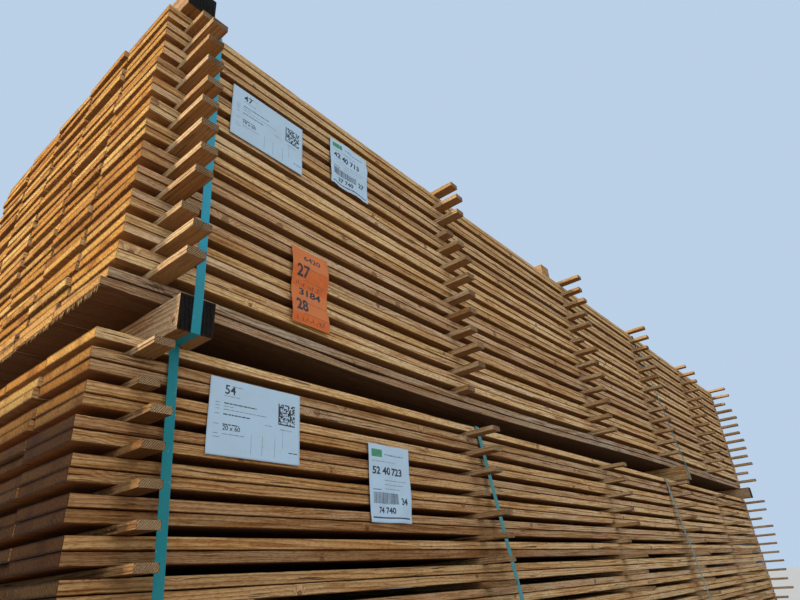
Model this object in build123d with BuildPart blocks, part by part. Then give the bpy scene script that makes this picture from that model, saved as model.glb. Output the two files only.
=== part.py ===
from build123d import *
import math
import os

# Two bundles of sawn boards, one on the other. +X runs along the boards from the
# near end to the far end, +Y from the labelled side to the back, +Z up.
# The origin is the middle of the whole outline, at the level of the ground.

# Boards
board_length = 5000.0
board_width = 200.0
board_thickness = 22.0
boards_across = 5
board_gap = 5.0
layer_gap = 0.3
end_spread = 5.0
side_spread = 1.4
inner_side_spread = 2.2

# Courses: two layers of boards each, and one layer alone on top of the lower bundle
upper_courses = 13
lower_courses = 12

# Drift of the near end from course to course
upper_drift_out = 29.0
upper_drift_in = 9.0
upper_drift_fade = 2.4
lower_drift_out = 22.0
lower_drift_peak = 1.2
lower_drift_reach = 3.9

# Stickers, the laths between the courses
sticker_width = 40.0
upper_sticker_thickness = 18.0
lower_sticker_thickness = 15.0
sticker_length = 1200.0
sticker_near_inset = 81.0
sticker_far_inset = 30.0
sticker_shares = (0.0, 0.207, 0.421, 0.611, 0.814, 1.0)
upper_sticker_pulls = (30.0, -2.0, 3.0, 8.0, 16.0, 36.0)
lower_sticker_pulls = (-10.0, -2.0, 3.0, 8.0, 16.0, 36.0)
sticker_shift_spread = 10.0
sticker_place_spread = 5.0
sticker_skew = 0.35
short_sticker_pull = 44.0
short_sticker_cycle = 9
short_sticker_turn = 3
lower_column_shift = 22.0

# Bearers, the square timbers under and on the bundles
bearer_width = 75.0
bearer_height = 75.0
bearer_overhang = 70.0
bearer_near_inset = 128.0
bearer_far_inset = 95.0
middle_bearer_share = 0.649
base_second_share = 0.247
base_third_share = 0.611
top_bearer_length = 1100.0
top_near_inset = 77.0
top_near_overhang = 32.0
top_second_share = 0.404
top_second_inset = 21.0

# Straps
strap_width = 19.0
strap_thickness = 0.9
strap_clearance = 0.15
strap_groove_side = 1.5
strap_bend_share = 0.9
upper_near_strap_lean = 20.0
upper_middle_strap_lean = -118.0
lower_second_strap_lean = -74.0
lower_third_strap_lean = -36.0

# Paper labels and the ticket: width, height, and lower near corner measured from
# the near end of the boards and from the foot of their bundle
label_thickness = 0.5
label_clearance = 0.3
upper_wide_label = (230.0, 162.0, 202.0, 508.0)
upper_square_label = (157.0, 166.0, 538.0, 552.0)
ticket = (118.0, 208.0, 402.0, 70.0)
lower_wide_label = (226.0, 152.0, 210.0, 541.0)
lower_square_label = (152.0, 182.0, 650.0, 436.0)

# Sizes that follow from those above
board_pitch = board_width + board_gap
bundle_width = boards_across * board_pitch - board_gap
course_height = 2 * board_thickness + layer_gap
upper_pitch = course_height + upper_sticker_thickness
lower_pitch = course_height + lower_sticker_thickness
upper_height = upper_courses * upper_pitch - upper_sticker_thickness
lower_height = lower_courses * lower_pitch + board_thickness
groove_single = strap_thickness + 2 * strap_clearance
groove_double = 2 * strap_thickness + 3 * strap_clearance
lower_foot = bearer_height
lower_top = lower_foot + lower_height
upper_foot = lower_top + bearer_height
upper_top = upper_foot + upper_height
bearer_length = bundle_width + 2 * bearer_overhang


# Each kind of unevenness follows its own sequence
end_sequence = 7
side_sequence = 3
pull_sequence = 5
place_sequence = 7
skew_sequence = 3
lower_first_level = 101


def uneven(first, second, sequence):
    """A fixed, uneven value between -1 and 1 for one piece of a pile."""
    return ((first * 37 + second * 61 + sequence * (first * second % 11)) % 19 - 9) / 9


def upper_drift(course):
    return upper_drift_in - upper_drift_out * math.exp(-course / upper_drift_fade)


def lower_drift(course):
    from_peak = lower_courses - course - lower_drift_peak
    return -lower_drift_out * math.exp(-((from_peak / lower_drift_reach) ** 2))


def board_shift(drift, course, layer, row):
    return drift(course) + end_spread * uneven(2 * course + layer, row, end_sequence)


def sticker_pull(bundle_pulls, level, column):
    """How far a sticker is pulled out towards the labelled side."""
    pull = bundle_pulls[column] + sticker_shift_spread * uneven(level, column, pull_sequence)
    if (level + 2 * column) % short_sticker_cycle == short_sticker_turn:
        pull -= short_sticker_pull
    return pull


# The outline of the pile: how far board ends and sticker tips reach
upper_layers = [(course, layer) for course in range(upper_courses) for layer in range(2)]
lower_layers = [(course, layer) for course in range(lower_courses) for layer in range(2)]
lower_layers.append((lower_courses, 0))
end_shifts = [board_shift(upper_drift, c, n, row) for c, n in upper_layers for row in range(boards_across)]
end_shifts += [board_shift(lower_drift, c, n, row) for c, n in lower_layers for row in range(boards_across)]
columns = range(len(sticker_shares))
upper_levels = range(1, upper_courses + 1)
lower_levels = range(lower_first_level, lower_first_level + lower_courses)
pulls = [sticker_pull(upper_sticker_pulls, level, column) for level in upper_levels for column in columns]
pulls += [sticker_pull(lower_sticker_pulls, level, column) for level in lower_levels for column in columns]
near_end = -board_length / 2 - (min(end_shifts) + max(end_shifts)) / 2
bundle_middle = (min(pulls) + max(pulls)) / 2
front_face = bundle_middle - bundle_width / 2


def along(distance):
    """The X of a place measured from the near end of the boards."""
    return near_end + distance


def column_place(column, shift=0.0):
    span = board_length - sticker_near_inset - sticker_far_inset
    edge = column in (0, len(sticker_shares) - 1)
    return along(sticker_near_inset + sticker_shares[column] * span + (0 if edge else shift))


def save(piece, name):
    piece.part.label = name
    export_step(piece.part, f"parts/{name}.step")


def make_course(name, foot, course, layers, drift):
    """Boards side by side, in one or two layers, their ends not quite in line."""
    with BuildPart() as piece:
        for layer in range(layers):
            level = foot + layer * (board_thickness + layer_gap)
            with BuildSketch(Plane.XY.offset(level)):
                for row in range(boards_across):
                    x = along(board_length / 2 + board_shift(drift, course, layer, row))
                    y = front_face + board_width / 2 + row * board_pitch
                    outer = row in (0, boards_across - 1)
                    spread = side_spread if outer else inner_side_spread
                    y += spread * uneven(row + 3, 2 * course + layer, side_sequence)
                    with Locations((x, y)):
                        Rectangle(board_length, board_width)
            extrude(amount=board_thickness)
    save(piece, name)


def make_sticker_column(name, place, column, feet, thickness, bundle_pulls, first_level):
    """The laths of one column, each pulled out and turned a little differently."""
    with BuildPart() as piece:
        for number, foot in enumerate(feet):
            level = first_level + number
            x = place + sticker_place_spread * uneven(level, column + 2, place_sequence)
            y = bundle_middle - sticker_pull(bundle_pulls, level, column)
            skew = sticker_skew * uneven(level, column, skew_sequence)
            with BuildSketch(Plane.XY.offset(foot)):
                with Locations((x, y)):
                    Rectangle(sticker_width, sticker_length, rotation=skew)
            extrude(amount=thickness)
    save(piece, name)


def make_bearer(name, x, foot, length, middle, straps=(), groove=0.0):
    """A square timber across the bundle, with a shallow groove below for each strap."""
    with BuildPart() as piece:
        with BuildSketch(Plane.XZ.offset(-middle - length / 2)):
            with Locations((x, foot + bearer_height / 2)):
                Rectangle(bearer_width, bearer_height)
            for strap in straps:
                with Locations((strap, foot + groove / 2)):
                    Rectangle(strap_width + 2 * strap_groove_side, groove, mode=Mode.SUBTRACT)
        extrude(amount=length)
    save(piece, name)


def make_strap(name, foot_x, top_x, underside, bearer_top, top):
    """A band drawn tight over the boards and round the ends of a bearer below them."""
    inner_half = bundle_width / 2 + side_spread + strap_clearance
    outer_half = bearer_length / 2 + strap_clearance
    rim = strap_thickness
    with BuildPart() as piece:
        with BuildSketch(Plane.YZ.offset(foot_x - strap_width / 2)) as foot_profile:
            low = underside - rim
            with Locations((bundle_middle, low)):
                Rectangle(2 * (outer_half + rim), bearer_top - low, align=(Align.CENTER, Align.MIN))
            fillet(foot_profile.vertices().group_by(Axis.Y)[0], rim * strap_bend_share)
            with Locations((bundle_middle, underside)):
                Rectangle(2 * outer_half, bearer_top - underside, align=(Align.CENTER, Align.MIN),
                          mode=Mode.SUBTRACT)
        extrude(amount=strap_width)
        with BuildSketch(Plane.YZ.offset(top_x - strap_width / 2)) as top_profile:
            high = top + strap_clearance + rim
            with Locations((bundle_middle, top)):
                Rectangle(2 * (inner_half + rim), high - top, align=(Align.CENTER, Align.MIN))
            fillet(top_profile.vertices().group_by(Axis.Y)[-1], rim * strap_bend_share)
            with Locations((bundle_middle, top)):
                Rectangle(2 * inner_half, strap_clearance, align=(Align.CENTER, Align.MIN),
                          mode=Mode.SUBTRACT)
        extrude(amount=strap_width)
        for side in (-1, 1):
            with BuildSketch(Plane.XY.offset(bearer_top)):
                with Locations((foot_x, bundle_middle + side * (outer_half + rim / 2))):
                    Rectangle(strap_width, rim)
            with BuildSketch(Plane.XY.offset(top)):
                with Locations((top_x, bundle_middle + side * (inner_half + rim / 2))):
                    Rectangle(strap_width, rim)
            loft(ruled=True)
    save(piece, name)


def make_label(name, sheet, foot):
    """A sheet of paper against the edges of the boards."""
    width, height, from_end, above_foot = sheet
    back = front_face - side_spread - label_clearance
    with BuildPart() as piece:
        with BuildSketch(Plane.XZ.offset(-back)):
            with Locations((along(from_end), foot + above_foot)):
                Rectangle(width, height, align=Align.MIN)
        extrude(amount=label_thickness)
    save(piece, name)


os.makedirs("parts", exist_ok=True)

for course in range(lower_courses):
    make_course(f"lower_course_{course + 1:02d}", lower_foot + course * lower_pitch, course, 2, lower_drift)
make_course("lower_course_top", lower_top - board_thickness, lower_courses, 1, lower_drift)
for course in range(upper_courses):
    make_course(f"upper_course_{course + 1:02d}", upper_foot + course * upper_pitch, course, 2, upper_drift)

for column in columns:
    lower_feet = [lower_foot + course_height + n * lower_pitch for n in range(lower_courses)]
    make_sticker_column(f"lower_stickers_{column + 1}", column_place(column, lower_column_shift), column,
                        lower_feet, lower_sticker_thickness, lower_sticker_pulls, lower_levels[0])
    # The first column has no sticker on the top course, where a bearer lies instead
    upper_count = upper_courses - 1 if column == 0 else upper_courses
    upper_feet = [upper_foot + course_height + n * upper_pitch for n in range(upper_count)]
    make_sticker_column(f"upper_stickers_{column + 1}", column_place(column), column,
                        upper_feet, upper_sticker_thickness, upper_sticker_pulls, upper_levels[0])

near_bearer = along(bearer_near_inset)
far_bearer = along(board_length - bearer_far_inset)
middle_bearer = along(middle_bearer_share * board_length)
base_second = along(base_second_share * board_length)
base_third = along(base_third_share * board_length)

make_bearer("base_bearer_near", near_bearer, 0, bearer_length, bundle_middle, [near_bearer], groove_single)
make_bearer("base_bearer_second", base_second, 0, bearer_length, bundle_middle, [base_second], groove_single)
make_bearer("base_bearer_third", base_third, 0, bearer_length, bundle_middle, [base_third], groove_single)
make_bearer("base_bearer_far", far_bearer, 0, bearer_length, bundle_middle)
make_bearer("middle_bearer_near", near_bearer, lower_top, bearer_length, bundle_middle,
            [near_bearer], groove_double)
make_bearer("middle_bearer_second", middle_bearer, lower_top, bearer_length, bundle_middle,
            [middle_bearer], groove_single)
make_bearer("middle_bearer_far", far_bearer, lower_top, bearer_length, bundle_middle)
make_bearer("top_bearer_near", along(top_near_inset), upper_top, top_bearer_length,
            front_face - top_near_overhang + top_bearer_length / 2)
make_bearer("top_bearer_second", along(top_second_share * board_length), upper_top, top_bearer_length,
            front_face + top_second_inset + top_bearer_length / 2)

lower_underside = groove_single - strap_clearance
make_strap("lower_strap_near", near_bearer, near_bearer, lower_underside, lower_foot, lower_top)
make_strap("lower_strap_second", base_second, base_second + lower_second_strap_lean, lower_underside,
           lower_foot, lower_top)
make_strap("lower_strap_third", base_third, base_third + lower_third_strap_lean, lower_underside,
           lower_foot, lower_top)
make_strap("upper_strap_near", near_bearer, near_bearer + upper_near_strap_lean,
           lower_top + groove_double - strap_clearance, upper_foot, upper_top)
make_strap("upper_strap_middle", middle_bearer, middle_bearer + upper_middle_strap_lean,
           lower_top + groove_single - strap_clearance, upper_foot, upper_top)

make_label("label_upper_wide", upper_wide_label, upper_foot)
make_label("label_upper_square", upper_square_label, upper_foot)
make_label("ticket_orange", ticket, upper_foot)
make_label("label_lower_wide", lower_wide_label, lower_foot)
make_label("label_lower_square", lower_square_label, lower_foot)
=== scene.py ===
# %% [markdown]
# # A stack of sawn boards, dressed in Blender
#
# The CAD model holds every board, lath, bearer, strap and label at its real size. This lesson gives them
# the look of the real thing: rough sawn softwood that has bent a little, ends that glow in the sun, plastic
# strapping and printed paper. Each step starts with what the piece is on the real stack, and why it is made
# the way it is.

# %% The frame
import math
import random

import bmesh
import bpy
from mathutils import Matrix, Vector, noise


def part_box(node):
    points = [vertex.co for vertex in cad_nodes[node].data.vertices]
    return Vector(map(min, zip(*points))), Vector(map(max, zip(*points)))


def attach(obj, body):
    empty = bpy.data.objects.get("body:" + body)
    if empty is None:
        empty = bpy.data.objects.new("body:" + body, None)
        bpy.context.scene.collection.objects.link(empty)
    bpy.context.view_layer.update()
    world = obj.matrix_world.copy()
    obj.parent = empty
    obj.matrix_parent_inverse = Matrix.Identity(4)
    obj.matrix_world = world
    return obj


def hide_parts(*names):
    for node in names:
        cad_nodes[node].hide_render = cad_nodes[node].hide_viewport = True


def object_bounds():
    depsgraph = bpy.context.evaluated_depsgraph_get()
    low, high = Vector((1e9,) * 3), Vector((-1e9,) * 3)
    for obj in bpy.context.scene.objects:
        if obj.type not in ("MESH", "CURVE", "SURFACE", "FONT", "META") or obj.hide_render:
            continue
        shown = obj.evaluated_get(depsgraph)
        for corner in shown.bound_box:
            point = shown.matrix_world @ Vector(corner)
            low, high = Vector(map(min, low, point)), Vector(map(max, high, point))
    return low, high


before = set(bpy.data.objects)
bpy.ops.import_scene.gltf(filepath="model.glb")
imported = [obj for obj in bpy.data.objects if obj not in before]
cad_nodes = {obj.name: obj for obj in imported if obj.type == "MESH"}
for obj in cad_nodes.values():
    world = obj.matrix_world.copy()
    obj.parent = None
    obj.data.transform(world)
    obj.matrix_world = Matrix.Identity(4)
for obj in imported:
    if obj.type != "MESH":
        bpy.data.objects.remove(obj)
cad_low, cad_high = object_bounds()


def add_object(name, data):
    """A new object in the scene."""
    item = bpy.data.objects.new(name, data)
    bpy.context.scene.collection.objects.link(item)
    return item


print(f"the frame has {len(cad_nodes)} nodes and is {(cad_high - cad_low).x:.2f} m long")

# %% [markdown]
# ## Where things are
#
# Everything below is placed from one corner of the upper bundle: its lower near corner on the labelled
# side. The bearer under it gives that corner, because the bundle rests on it and the bearer stands out by a
# known length.

# %% The corner that places are measured from
bearer_near_inset = 0.128
bearer_overhang = 0.070

near_bearer_low, near_bearer_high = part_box("middle_bearer_near")
near_support = (near_bearer_low.x + near_bearer_high.x) / 2
second_support = sum(corner.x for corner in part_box("middle_bearer_second")) / 2
corner = Vector((near_support - bearer_near_inset, near_bearer_low.y + bearer_overhang, near_bearer_high.z))
print("corner of the upper bundle:", [round(c, 3) for c in corner])

# %% [markdown]
# ## The camera
#
# The view is taken from close to the near end, from below and with a wide lens that leans a little. The
# camera is put at a measured place, and its axes are written as two directions: where it looks and where
# its right side points. The third follows from a cross product, so the three stay square.

# %% The camera
camera_place = corner + Vector((-0.376, -0.950, -0.509))
camera_look = Vector((0.70024, 0.55511, 0.44890)).normalized()
camera_right = Vector((0.64546, -0.76095, -0.06586)).normalized()
camera_up = camera_right.cross(camera_look).normalized()

camera_data = bpy.data.cameras.new("Photo camera")
camera_data.sensor_width = 36.0
camera_data.lens = 25.63
camera = add_object("Photo camera", camera_data)
axes = Matrix((camera_right, camera_up, -camera_look)).transposed()
camera.matrix_world = Matrix.Translation(camera_place) @ axes.to_4x4()
bpy.context.scene.camera = camera
print("the camera stands", round(camera_place.z, 2), "m above the ground")

# %% [markdown]
# ## Light
#
# The ends of the boards catch warm, low light that rakes across them, and the labelled side lies in soft,
# cool shade. A warm lamp does the first, with a soft pool of light on the upper ends. A pale blue sky all
# round and a wide, weak lamp from the labelled side do the second. The floor is plain and pale.

# %% Floor, sky and lamps
sky_colour, sky_strength = (0.62, 0.79, 1.0), 0.80
warm_colour, warm_towards = (1.0, 0.84, 0.62), Vector((0.80, -0.52, -0.85))
fill_colour, fill_towards = (0.95, 0.97, 1.0), Vector((0.25, 1.0, -0.45))
accent_distance = 5.0
floor_tint, floor_reach = (0.45, 0.44, 0.42), 30.0

world = bpy.data.worlds.new("Pale sky")
world.use_nodes = True
background = world.node_tree.nodes["Background"]
background.inputs["Color"].default_value = (*sky_colour, 1.0)
background.inputs["Strength"].default_value = sky_strength
bpy.context.scene.world = world


def add_lamp(name, kind, towards, colour, energy, place=(0, 0, 0), **settings):
    """A lamp that shines in one direction; the settings are those of its kind."""
    data = bpy.data.lights.new(name, kind)
    data.color, data.energy = colour, energy
    for key, value in settings.items():
        setattr(data, key, value)
    lamp = add_object(name, data)
    lamp.location = place
    lamp.rotation_euler = towards.to_track_quat("-Z", "Y").to_euler()


def new_material(name, roughness, specular):
    material = bpy.data.materials.new(name)
    material.use_nodes = True
    shader = material.node_tree.nodes["Principled BSDF"]
    shader.inputs["Roughness"].default_value = roughness
    shader.inputs["Specular IOR Level"].default_value = specular
    return material, material.node_tree, shader


add_lamp("Warm key", "SUN", warm_towards, warm_colour, 3.0, angle=math.radians(4.0))
add_lamp("Soft fill", "SUN", fill_towards, fill_colour, 1.0, angle=math.radians(70.0))
upper_end = Vector((cad_low.x, 0.15, corner.z + 0.7))
add_lamp("Warm accent", "SPOT", warm_towards, warm_colour, 560.0,
         upper_end - warm_towards.normalized() * accent_distance,
         spot_size=math.radians(18.0), spot_blend=0.6, shadow_soft_size=0.15)

floor_mesh = bpy.data.meshes.new("Floor")
floor_corners = [(x * floor_reach, y * floor_reach, 0) for x, y in ((-1, -1), (1, -1), (1, 1), (-1, 1))]
floor_mesh.from_pydata(floor_corners, [], [(0, 1, 2, 3)])
floor_finish, _, floor_shader = new_material("Pale floor", 0.9, 0.5)
floor_shader.inputs["Base Color"].default_value = (*floor_tint, 1.0)
floor_mesh.materials.append(floor_finish)
floor = add_object("Floor", floor_mesh)
bpy.context.scene.view_settings.view_transform = "Standard"
print("three lamps, a sky and a floor")

# %% [markdown]
# ## Helpers for node trees
#
# Blender builds geometry, materials and groups from the same kind of tree. `put` adds a node and fills its
# sockets, with plain values or with outputs of other nodes, so a tree reads from top to bottom like a recipe.
# What it gives back is a `Value`: adding or multiplying two of them adds the node that does the sum.

# %% Helpers for node trees
VECTOR, GEOMETRY, MATERIAL = "NodeSocketVector", "NodeSocketGeometry", "NodeSocketMaterial"
number_sockets = {int: "NodeSocketInt", float: "NodeSocketFloat"}


class Value:
    """An output of a node that can stand in a sum."""

    def __init__(self, tree, socket):
        self.tree, self.socket = tree, socket

    def to(self, socket):
        self.tree.links.new(self.socket, socket)

    def __neg__(self):
        return self * -1.0


def add_sum(method, operation):
    """Gives values a method, or a sign such as +, that adds the node for one sum."""
    def do(self, *others):
        terms = (*others, self) if method.startswith("__r") else (self, *others)
        return put(self.tree, "ShaderNodeMath", enumerate(terms), operation=operation)
    setattr(Value, method, do)


sums = {"__add__": "ADD", "__sub__": "SUBTRACT", "__rsub__": "SUBTRACT", "__mul__": "MULTIPLY",
        "__truediv__": "DIVIDE", "__rtruediv__": "DIVIDE", "__pow__": "POWER", "__abs__": "ABSOLUTE",
        "__gt__": "GREATER_THAN", "__lt__": "LESS_THAN", "at_least": "MAXIMUM", "at_most": "MINIMUM",
        "sign": "SIGN", "fract": "FRACT", "sqrt": "SQRT", "sine": "SINE"}
for method, operation in sums.items():
    add_sum(method, operation)


def add_node(tree, kind, given, settings):
    node = tree.nodes.new(kind)
    for key, value in settings.items():
        setattr(node, key, value)
    for key, value in dict(given).items():
        if isinstance(value, Value):
            value.to(node.inputs[key])
        else:
            node.inputs[key].default_value = value
    return node


def put(tree, kind, given=(), output=0, **settings):
    """Adds a node; given maps its sockets, by name or number, to values. One output comes back."""
    return Value(tree, add_node(tree, kind, given, settings).outputs[output])


def put_all(tree, kind, given=(), **settings):
    """The same, with all outputs by name."""
    return {s.name: Value(tree, s) for s in add_node(tree, kind, given, settings).outputs}


def new_group(name, kind, inputs, outputs):
    """A node group; each named socket is given by its start value, or else by its type."""
    tree = bpy.data.node_groups.new(name, kind)
    for side, sockets in (("INPUT", inputs), ("OUTPUT", outputs)):
        for title, start in sockets.items():
            if isinstance(start, str):
                tree.interface.new_socket(title, in_out=side, socket_type=start)
            else:
                socket_type = number_sockets[type(start)]
                tree.interface.new_socket(title, in_out=side, socket_type=socket_type).default_value = start
    return tree, put_all(tree, "NodeGroupInput"), tree.nodes.new("NodeGroupOutput").inputs


def split(vector):
    """The three parts of a vector."""
    return tuple(put_all(vector.tree, "ShaderNodeSeparateXYZ", {0: vector}).values())


def split_colour(colour):
    return tuple(put_all(colour.tree, "ShaderNodeSeparateColor", {0: colour}).values())


def join(tree, x=0.0, y=0.0, z=0.0):
    return put(tree, "ShaderNodeCombineXYZ", {0: x, 1: y, 2: z})


def ranged(value, low, high, kind="LINEAR"):
    """0 where the value is at low, 1 where it is at high."""
    return put(value.tree, "ShaderNodeMapRange", {"Value": value, "From Min": low, "From Max": high},
               interpolation_type=kind)


def cloud(place, scale=1.0, detail=2.0, stretch=None, output=0, **given):
    """Noise; stretch is its own scale along each axis, and output 1 gives three values at once."""
    if stretch:
        place = put(place.tree, "ShaderNodeMapping", {"Vector": place, "Scale": stretch})
    return put(place.tree, "ShaderNodeTexNoise", {"Vector": place, "Scale": scale, "Detail": detail, **given},
               output)


print("helpers: Value, put, put_all, new_group, split, join, ranged, cloud")

# %% [markdown]
# ## Sawn timber
#
# A board is a long bar with sharp sawn corners, but no board is quite straight. It bows a few millimetres
# to the side, its faces are a little hollow, its corners are chipped, and here and there a corner is
# missing because the log was round there. All boards and laths follow the same rule, so one Geometry Nodes
# tree makes them: a bar at its real size is set on each point of the piece it stands for, gets a number of
# its own, and is then worn by noise that depends on that number.
#
# The tree keeps five things for the material: `grain` is the place inside the straight bar, `tone` is the
# bar's own number, `end_face` marks the cross-cut ends, `broad_face` the wide faces and `under_face` those
# of them that look down.

# %% Helpers for the timber tree
far_apart = 431.0


def keep(geometry, name, value, kind="FLOAT", domain="POINT"):
    """Stores a value on the geometry under a name that a material can read."""
    return put(geometry.tree, "GeometryNodeStoreNamedAttribute",
               {"Geometry": geometry, "Name": name, "Value": value}, data_type=kind, domain=domain)


def recall(tree, name, kind="FLOAT"):
    return put(tree, "GeometryNodeInputNamedAttribute", {"Name": name}, data_type=kind)


def ripple(along, per_metre, number, shift):
    """A smooth value from -1 to 1 that runs along a bar and differs from bar to bar."""
    place = number * far_apart + (along * per_metre + shift)
    return put(along.tree, "ShaderNodeTexNoise", {"W": place, "Scale": 1.0, "Detail": 2.0},
               noise_dimensions="1D") * 2.0 - 1.0


print("helpers: keep, recall, ripple")

# %% The timber tree
facing_limit = 0.6
sharp_angle = 0.4
near_crowding = 1.5
chips_per_metre, chip_start = 23.0, 0.22
wanes_per_metre, wane_start = 1.3, 0.42
end_slant = 0.03


def straight_bar(tree, given):
    """A rectangle with cut corners swept along X, with more cross sections towards the near end."""
    length = given["Length"]
    half = length * 0.5
    line = put(tree, "GeometryNodeCurvePrimitiveLine", {"Start": join(tree, -half), "End": join(tree, half)})
    line = put(tree, "GeometryNodeResampleCurve", {"Curve": line, "Count": given["Stretches"] + 1.0})
    profile = put(tree, "GeometryNodeCurvePrimitiveQuadrilateral",
                  {"Width": given["Width"], "Height": given["Thickness"]})
    profile = put(tree, "GeometryNodeFilletCurve", {"Curve": profile, "Radius": given["Corner"], "Count": 1},
                  mode="POLY")
    bar = put(tree, "GeometryNodeCurveToMesh", {"Curve": line, "Profile Curve": profile, "Fill Caps": True})
    place = put(tree, "GeometryNodeInputPosition")
    share = split(place)[0] / length + 0.5
    shift = join(tree, (share ** near_crowding - share) * length)
    bar = put(tree, "GeometryNodeSetPosition", {"Geometry": bar, "Offset": shift})
    bar = keep(bar, "grain", place, "FLOAT_VECTOR")
    x, y, z = split(put(tree, "GeometryNodeInputNormal"))
    for name, mark in (("end_face", abs(x) > facing_limit), ("broad_face", abs(z) > facing_limit),
                       ("under_face", z < -facing_limit)):
        bar = keep(bar, name, mark, domain="FACE")
    return bar


def wear_shift(tree, given):
    """How far each point of a bar moves: it bows sideways, and its faces and corners draw inwards."""
    x, y, z = split(recall(tree, "grain", "FLOAT_VECTOR"))
    number = recall(tree, "tone")
    side_y, side_z = y.sign(), z.sign()
    edge = side_y * 17.0 + side_z * 31.0
    bow = ripple(x, 0.7, number, 3.0) * given["Bow"]
    flat = ripple(x, 2.5, number, side_z) * 0.5 + 0.5
    narrow = ripple(x, 3.0, number, side_y) * 0.5 + 0.5

    # Chips are short and shallow, missing corners long and deep; each of the four edges has its own
    chip = (ripple(x, chips_per_metre, number, edge) - chip_start).at_least(0.0) * given["Chips"]
    wane = (ripple(x, wanes_per_metre, number, edge) - wane_start).at_least(0.0) * given["Wane"]
    lost = chip + wane
    on_edge = abs(y) > given["Width"] * 0.5 - given["Corner"] * 0.5
    in_y = narrow * given["Hollow"] + lost * (1.0 - on_edge)
    in_z = flat * given["Hollow"] + lost * on_edge

    # The ends aren't cut quite square, which only ever shortens a bar
    slant = (number * 57.0).fract() * end_slant - end_slant / 2
    cut = x.sign() * (given["Width"] * (-end_slant / 4) - 0.0005)
    return join(tree, y * slant + cut, bow - side_y * in_y, -(side_z * in_z))


def make_timber_tree():
    tree, given, result = new_group(
        "Timber", "GeometryNodeTree",
        {"Geometry": GEOMETRY, "Length": 1.0, "Width": 0.1, "Thickness": 0.02, "Corner": 0.001,
         "Stretches": 8, "Bow": 0.0, "Hollow": 0.0, "Chips": 0.0, "Wane": 0.0, "Seed": 0,
         "Material": MATERIAL},
        {"Geometry": GEOMETRY})
    turn = recall(tree, "turn")
    bars = put(tree, "GeometryNodeInstanceOnPoints",
               {"Points": given["Geometry"], "Instance": straight_bar(tree, given),
                "Rotation": join(tree, z=turn)})
    draw = put(tree, "FunctionNodeRandomValue", {"Seed": given["Seed"]}, 1, data_type="FLOAT")
    bars = keep(bars, "tone", draw, domain="INSTANCE")
    bars = put(tree, "GeometryNodeRealizeInstances", {"Geometry": bars})
    shift = put(tree, "ShaderNodeVectorRotate", {"Vector": wear_shift(tree, given), "Angle": turn},
                rotation_type="Z_AXIS")
    bars = put(tree, "GeometryNodeSetPosition", {"Geometry": bars, "Offset": shift})
    sharp = put(tree, "GeometryNodeInputMeshEdgeAngle") > sharp_angle
    bars = put(tree, "GeometryNodeSetShadeSmooth",
               {"Geometry": bars, "Selection": sharp, "Shade Smooth": False}, domain="EDGE")
    put(tree, "GeometryNodeSetMaterial", {"Geometry": bars, "Material": given["Material"]}).to(result[0])
    return tree


timber_tree = make_timber_tree()
print("the timber tree has", len(timber_tree.nodes), "nodes")

# %% [markdown]
# The tree needs a point for each bar. The CAD node already has every bar in its place, so the points are
# read from it: the triangles that share corners belong to one bar, and that bar's two far ends give its
# middle, its direction and its length.

# %% Reading the bars of a CAD node
def joined_shape(mesh, near=1e-5):
    """The mesh as a bmesh, with points that lie at one place made one."""
    shape = bmesh.new()
    shape.from_mesh(mesh)
    bmesh.ops.remove_doubles(shape, verts=shape.verts, dist=near)
    return shape


def bars_of(node_name):
    """The bars of a node as (middle, direction, size), the size being length, width and thickness."""
    shape = joined_shape(cad_nodes[node_name].data)
    left = set(shape.verts)
    found = []
    while left:
        bar, edge = set(), [next(iter(left))]
        while edge:
            vert = edge.pop()
            if vert not in bar:
                bar.add(vert)
                edge += [e.other_vert(vert) for e in vert.link_edges]
        left -= bar
        places = [v.co.copy() for v in bar]
        spans = [max(p[i] for p in places) - min(p[i] for p in places) for i in range(3)]
        axis = spans.index(max(spans))
        places.sort(key=lambda p: p[axis])
        half = len(places) // 2
        first = sum(places[:half], Vector()) / half
        last = sum(places[-half:], Vector()) / half
        width = (places[0] - places[1]).xy.length or (places[0] - places[2]).xy.length
        whole = last - first
        found.append(((first + last) / 2, whole.normalized(), (whole.length, width, spans[2])))
    shape.free()
    return sorted(found, key=lambda bar: [round(c, 4) for c in bar[0]])


course_names = sorted(n for n in cad_nodes if "course" in n)
sticker_names = sorted(n for n in cad_nodes if "stickers" in n)
board_size = bars_of("upper_course_01")[0][2]
print(len(course_names), "courses; a board is", [round(s, 4) for s in board_size], "m")

# %% [markdown]
# ## The sag
#
# The upper bundle rests on the lower one only at its bearers. Between the first two its boards hang a
# little, most in the lowest course, so the dark gap under them narrows. Every piece of that bundle is let
# down by the same curve, which keeps labels, laths and boards together.

# %% Sag
deepest_sag = 0.026
least_sag = 0.006
sag_rise, sag_fall = 1.3, 2.6
bundle_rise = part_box("upper_course_13")[1].z - corner.z


def sag_at(x, z):
    """How far a place in the upper bundle lies below its straight place."""
    share = (x - near_support) / (second_support - near_support)
    if share <= 0 or share >= 1 or z < corner.z - 0.001:
        return 0.0
    peak = sag_rise / (sag_rise + sag_fall)
    shape = (share / peak) ** sag_rise * ((1 - share) / (1 - peak)) ** sag_fall
    height = min(1.0, (z - corner.z) / bundle_rise)
    return shape * (deepest_sag + (least_sag - deepest_sag) * height)


def let_sag(mesh):
    for vert in mesh.vertices:
        vert.co.z -= sag_at(vert.co.x, vert.co.z)
    mesh.update()


print("sag at 1.1 m:", round(sag_at(corner.x + 1.1, corner.z) * 1000), "mm")

# %% Setting new pieces in the place of CAD nodes
def shown_mesh(holder):
    """The plain mesh that an object shows; the object itself goes."""
    mesh = bpy.data.meshes.new_from_object(holder.evaluated_get(bpy.context.evaluated_depsgraph_get()))
    bpy.data.objects.remove(holder)
    return mesh


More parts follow.
